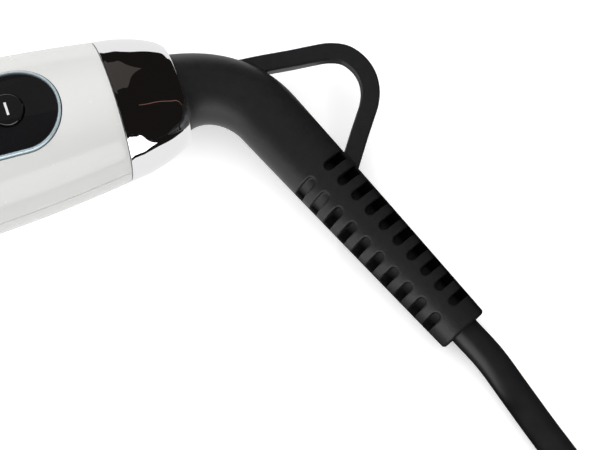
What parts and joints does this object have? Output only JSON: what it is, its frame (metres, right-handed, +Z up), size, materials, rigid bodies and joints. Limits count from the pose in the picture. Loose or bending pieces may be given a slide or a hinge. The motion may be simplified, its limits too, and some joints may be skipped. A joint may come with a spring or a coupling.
{
  "type": "curling iron",
  "caption": "Hair curling iron resting on its fold-out stand: heated barrel with a spring clip, white handle with a control panel, and a swivelling cord boot with a hanging loop, cord and plug.",
  "frame": {"origin": "on the table under the middle of the iron, its boot and its stand, cord and plug left out", "axes": "+X along the iron towards its cord end, seen from above, +Z up from the table; the handle's axis slopes down 6 degrees towards +X, and the cord boot is turned towards -Y"},
  "size_m": [0.4083, 0.234, 0.0759],
  "materials": {
    "white_shell": "satin-gloss white ABS",
    "chrome": "mirror chrome plate",
    "polished_steel": "polished",
    "spring_steel": "plain",
    "black_plastic": "fine satin",
    "black_gloss": "high gloss",
    "rubber": "fine-grained satin",
    "cord_jacket": "satin PVC",
    "tie_strap": "hook and loop strap",
    "aluminium": "extruded",
    "ceramic": "unglazed ceramic",
    "board": "solder mask",
    "grey_plastic": "moulded",
    "lead_jacket": "silicone insulation",
    "brass": "plain"
  },
  "bodies": {
    "handle": {"handle_shell_upper": "white_shell", "handle_shell_lower": "white_shell", "end_ring": "chrome", "panel_bezel": "chrome", "barrel_tube": "polished_steel", "clip_bracket": "polished_steel", "thermal_fuse": "polished_steel", "clip_pin": "spring_steel", "clip_spring": "spring_steel", "stand_rivet_left": "spring_steel", "stand_rivet_right": "spring_steel", "handle_screw_front": "spring_steel", "handle_screw_left": "spring_steel", "handle_screw_right": "spring_steel", "cool_tip": "black_plastic", "front_collar": "black_plastic", "swivel_housing": "black_plastic", "panel_lens": "black_gloss", "heat_spreader_upper": "aluminium", "heat_spreader_lower": "aluminium", "ptc_heater": "ceramic", "thermistor": "ceramic", "control_board": "board", "display_module": "grey_plastic", "power_switch": "grey_plastic", "plus_switch": "grey_plastic", "minus_switch": "grey_plastic", "heater_lead_live": "lead_jacket", "heater_lead_neutral": "lead_jacket", "contact_blade_live": "brass", "contact_blade_neutral": "brass"},
    "clip": {"clip_plate": "polished_steel", "thumb_lever": "black_plastic", "lever_rivet_front": "spring_steel", "lever_rivet_rear": "spring_steel"},
    "stand": {"stand_frame": "polished_steel", "stand_foot_pad": "rubber"},
    "swivel": {"swivel_core": "black_plastic", "swivel_circlip": "spring_steel", "slip_ring_live": "brass", "slip_ring_neutral": "brass", "cord_boot": "rubber", "cord_lead": "cord_jacket", "cord_coil": "cord_jacket", "cord_tie": "tie_strap", "cord_tail": "cord_jacket", "plug_body": "black_plastic", "plug_pin_live": "polished_steel", "plug_pin_neutral": "polished_steel", "pin_sleeve_live": "black_plastic", "pin_sleeve_neutral": "black_plastic"},
    "power_key": {"power_button": "black_gloss"},
    "plus_key": {"plus_button": "black_gloss"},
    "minus_key": {"minus_button": "black_gloss"}
  },
  "joints": [
    {"name": "clip_hinge", "type": "hinge", "parent": "handle", "child": "clip", "pos_m": [-0.03142, 0.02439, 0.05068], "axis": [0, 1, 0], "range_deg": [0, 20], "stiffness_Nm_per_rad": 0.3, "springref_deg": -28.65},
    {"name": "stand_fold", "type": "hinge", "parent": "handle", "child": "stand", "pos_m": [-0.01967, 0.02439, 0.0238], "axis": [0, 1, 0], "range_deg": [0, 78]},
    {"name": "cord_swivel", "type": "hinge", "parent": "handle", "child": "swivel", "pos_m": [0.13582, 0.02439, 0.0155], "axis": [0.9945, 0, -0.1045], "continuous": true},
    {"name": "power_press", "type": "slide", "parent": "handle", "child": "power_key", "axis": [-0.1045, 0, -0.9945], "range_m": [0, 0.0005], "stiffness_N_per_m": 1500, "springref_m": -0.0003},
    {"name": "plus_press", "type": "slide", "parent": "handle", "child": "plus_key", "axis": [-0.1045, 0, -0.9945], "range_m": [0, 0.0005], "stiffness_N_per_m": 1500, "springref_m": -0.0003},
    {"name": "minus_press", "type": "slide", "parent": "handle", "child": "minus_key", "axis": [-0.1045, 0, -0.9945], "range_m": [0, 0.0005], "stiffness_N_per_m": 1500, "springref_m": -0.0003}
  ]
}
